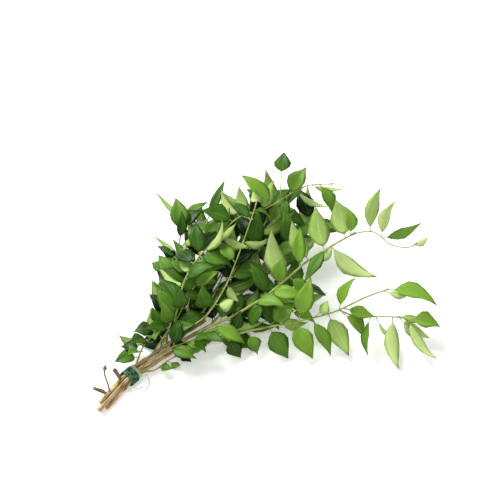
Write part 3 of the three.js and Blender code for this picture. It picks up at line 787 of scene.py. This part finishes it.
# How a leaf bends away from its solid: shares of its length or half width, and radians for the twist and
# the waves. Each leaf's own amount comes from its number, stepped by CHANCES.
CHANCES = (0.618034, 0.754878, 0.569840, 0.324718)
LEAF_BOW = 0.12
HOOKED_TIP = 1.6
TIP_CURL = 0.45
LEAF_TWIST = 1.1
TWIST_ABOUT = 0.35
BENDS_FROM = 0.5
TIP_PINCH = 0.18
LEAST_PINCH = 0.4
LEAST_CUP, MORE_CUP = 0.12, 0.34
CUP_CURVE = 1.4
LEAST_WAVE, MORE_WAVE = 0.03, 0.12
WAVE_PITCH = 9
SIDES_APART = 1.9
CHANCE_IN_TONE = 0.55


def bend_blank(blank, leaf, number):
    """A copy of the blank bent onto one leaf, whose midrib and width are the CAD leaf's own."""
    chance, bow_chance, curl_chance, wave_chance = ((number * step) % 1 for step in CHANCES)
    foot, middle, tip = leaf["foot"], leaf["middle"], leaf["tip"]
    long = (tip - foot).length
    square = (middle - foot - READ_AT * (tip - foot)) / (READ_AT**2 - READ_AT)
    straight = tip - foot - square
    side = (leaf["right"] - leaf["left"]).normalized()
    if side.cross(straight).dot(leaf["upper"]) < 0:
        side = -side
    half_wide = (leaf["right"] - leaf["left"]).length / 2 / leaf_outline(READ_AT)
    root = leaf["join"] + (leaf["join"] - foot).normalized() * PETIOLE_ROOT * MM
    bow = (bow_chance - 0.5) * LEAF_BOW * long
    curl = (curl_chance - 0.2) * TIP_CURL * long
    twist = (wave_chance - 0.5) * LEAF_TWIST
    cup = LEAST_CUP + MORE_CUP * chance
    pinch = TIP_PINCH * (LEAST_PINCH + curl_chance)
    waviness = half_wide * (LEAST_WAVE + MORE_WAVE * wave_chance)
    mesh = blank.copy()
    for vertex in mesh.vertices:
        x, y, z = vertex.co
        ahead = (straight + 2 * square * max(y, 0)).normalized()
        upper = side.cross(ahead).normalized()
        if y < 0:
            radius = PETIOLE_RADIUS * MM * (0.85 - 0.4 * y)
            vertex.co = foot.lerp(root, -y) + (side * x + upper * z) * radius
            continue
        past = max(y - BENDS_FROM, 0)
        pinched = 1 - pinch * math.sin(math.pi * past / (1 - BENDS_FROM))
        half = half_wide * leaf_outline(min(max(y, OUTLINE_ENDS[0]), OUTLINE_ENDS[1])) * pinched
        turned = twist * (y - TWIST_ABOUT)
        across = side * math.cos(turned) + upper * math.sin(turned)
        out = upper * math.cos(turned) - side * math.sin(turned)
        wave = math.sin(WAVE_PITCH * y + 2 * math.pi * chance + (SIDES_APART if x > 0 else 0))
        lift = abs(x) ** CUP_CURVE * half * cup + x * x * waviness * wave * math.sin(math.pi * y)
        thick = BLADE_HALF_THICKNESS * MM * z
        if z < 0:
            thick -= MIDRIB_DEPTH * MM * max(1 - abs(x) * RIB_SHARPNESS, 0) * (1 - y) ** RIB_TAPER
        midrib = foot + straight * y + square * y * y
        sideways = bow * (4 * y * (1 - y) - HOOKED_TIP * past**2)
        midrib += side * sideways - upper * curl * past**2
        vertex.co = midrib + across * (x * half) + out * (lift + thick)
        vertex.co.z = max(vertex.co.z, ABOVE_TABLE * MM)
    # Each leaf's tone holds a chance part, its age and the painted shade of the leaves above it.
    tone = mesh.attributes.new("tone", "FLOAT", "POINT")
    tone.data.foreach_set("value", [CHANCE_IN_TONE * chance + youth_and_painted_shade(leaf)] * len(mesh.vertices))
    return mesh


VEINS_A_SIDE = 11.0
VEIN_SWEEP = 0.2
HALF_VEIN = 0.09
DRIED_TIP = (0.11, 0.085, 0.03)
LEAF_SPECULAR = 0.2


def vein_lines(tree):
    """Side veins that leave the midrib slantwise, and the midrib itself, from the blade's UV map."""
    uv = tree.nodes.new("ShaderNodeTexCoord").outputs["UV"]
    split = tree.nodes.new("ShaderNodeSeparateXYZ")
    tree.links.new(uv, split.inputs["Vector"])
    off_rib = maths(tree, "ABSOLUTE", maths(tree, "MULTIPLY_ADD", split.outputs["X"], 2.0, -1.0))
    sweep = maths(tree, "MULTIPLY", maths(tree, "POWER", off_rib, 0.8), VEIN_SWEEP)
    swept = maths(tree, "SUBTRACT", split.outputs["Y"], sweep)
    phase = maths(tree, "FRACT", maths(tree, "MULTIPLY_ADD", swept, VEINS_A_SIDE, 4.0))
    from_vein = maths(tree, "ABSOLUTE", maths(tree, "SUBTRACT", phase, 0.5))
    side_vein = span(tree, from_vein, 0.0, HALF_VEIN, 1.0, 0.0)
    side_vein = maths(tree, "MULTIPLY", side_vein, span(tree, off_rib, 0.55, 0.95, 1.0, 0.0))
    midrib = span(tree, off_rib, 0.02, 0.09, 1.0, 0.0)
    return side_vein, midrib, split.outputs["Y"]


def leaf_side(name, deep, full, fresh, vein, roughness, vein_strength, vein_relief):
    """One side of a leaf, its green varied by leaf, by the painted shade held in its tone, and in clouds
    over the blade, with veins in relief.
    """
    material, tree, shader = new_material(name, full, roughness)
    shader.inputs["Specular IOR Level"].default_value = LEAF_SPECULAR
    place = tree.nodes.new("ShaderNodeTexCoord").outputs["Object"]
    tone = add_node(tree, "ShaderNodeAttribute", attribute_name="tone").outputs["Fac"]
    clouds = noise(tree, place, 60, 3)
    cells = noise(tree, place, 1800, 2)
    blend = maths(tree, "ADD", tone, maths(tree, "MULTIPLY_ADD", clouds, 0.5, -0.25))
    colour = ramp(tree, blend, [(0.1, deep), (0.5, full), (0.95, fresh)])
    side_vein, midrib, along = vein_lines(tree)
    colour = mixed(tree, maths(tree, "MULTIPLY", side_vein, vein_strength), colour, vein)
    colour = mixed(tree, maths(tree, "MULTIPLY", midrib, min(1.0, vein_strength * 2)), colour, vein)
    colour = mixed(tree, maths(tree, "MULTIPLY", cells, 0.25), colour, deep)
    dried = maths(tree, "MULTIPLY", span(tree, along, 0.88, 0.99), span(tree, clouds, 0.35, 0.6, 0.0, 0.8))
    colour = mixed(tree, dried, colour, DRIED_TIP)
    tree.links.new(colour, shader.inputs["Base Color"])
    gloss = span(tree, clouds, 0.3, 0.7, roughness - 0.07, roughness + 0.1)
    tree.links.new(gloss, shader.inputs["Roughness"])
    relief = maths(tree, "MULTIPLY", side_vein, vein_relief)
    relief = maths(tree, "ADD", relief, maths(tree, "MULTIPLY", cells, 0.15))
    relief = maths(tree, "ADD", relief, maths(tree, "MULTIPLY", midrib, vein_relief))
    bumped(tree, shader, relief, 0.5, 0.0003)
    return material


LEAF_UPPER = leaf_side("leaf_upper", (0.006, 0.026, 0.002), (0.052, 0.155, 0.008), (0.230, 0.440, 0.040),
                       (0.20, 0.40, 0.06), 0.3, 0.14, -0.8)
LEAF_UNDER = leaf_side("leaf_under", (0.09, 0.20, 0.015), (0.37, 0.57, 0.12), (0.62, 0.77, 0.29),
                       (0.66, 0.78, 0.36), 0.55, 0.3, 0.8)
BLANK = leaf_blank()
leaves_of = {node: read_leaves(node) for node in sorted(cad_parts)}
all_middles = [leaf["middle"] for leaves in leaves_of.values() for leaf in leaves]

# Leaves higher than COVER_HEIGHT over another, and nearer to it than COVER_REACH, darken it with painted
# shade.
COVER_HEIGHT = 9
COVER_REACH = 16
PAINTED_SHADE_INSIDE = 0.17
YOUNGEST_GAIN = 0.65
YOUTH_AT_STEMS = 0.08


def youth_and_painted_shade(leaf):
    """How young a leaf is: old and dark near the stems, fresh and pale at the tips; painted shade darkens it
    deep in the bunch.
    """
    above = sum(1 for middle in all_middles if middle.z - leaf["middle"].z > COVER_HEIGHT * MM
                and (middle - leaf["middle"]).xy.length < COVER_REACH * MM)
    outward = (leaf["middle"].x - cad_box[0][0]) / (cad_box[1][0] - cad_box[0][0])
    return YOUTH_AT_STEMS + YOUNGEST_GAIN * outward - PAINTED_SHADE_INSIDE * above


leaf_number = 0
for node, leaves in leaves_of.items():
    blades = []
    for leaf in leaves:
        leaf_number += 1
        blade = bpy.data.objects.new("blade", bend_blank(BLANK, leaf, leaf_number))
        bpy.context.collection.objects.link(blade)
        blades.append(blade)
    if not blades:
        continue
    bpy.ops.object.select_all(action="DESELECT")
    for blade in blades:
        blade.select_set(True)
    bpy.context.view_layer.objects.active = blades[0]
    if len(blades) > 1:
        bpy.ops.object.join()
    foliage = blades[0]
    foliage.name = node.replace("_leaf_", "_blade_") if "_leaf_" in node else f"{node}_leaves"
    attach(foliage, "root")
    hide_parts(node)
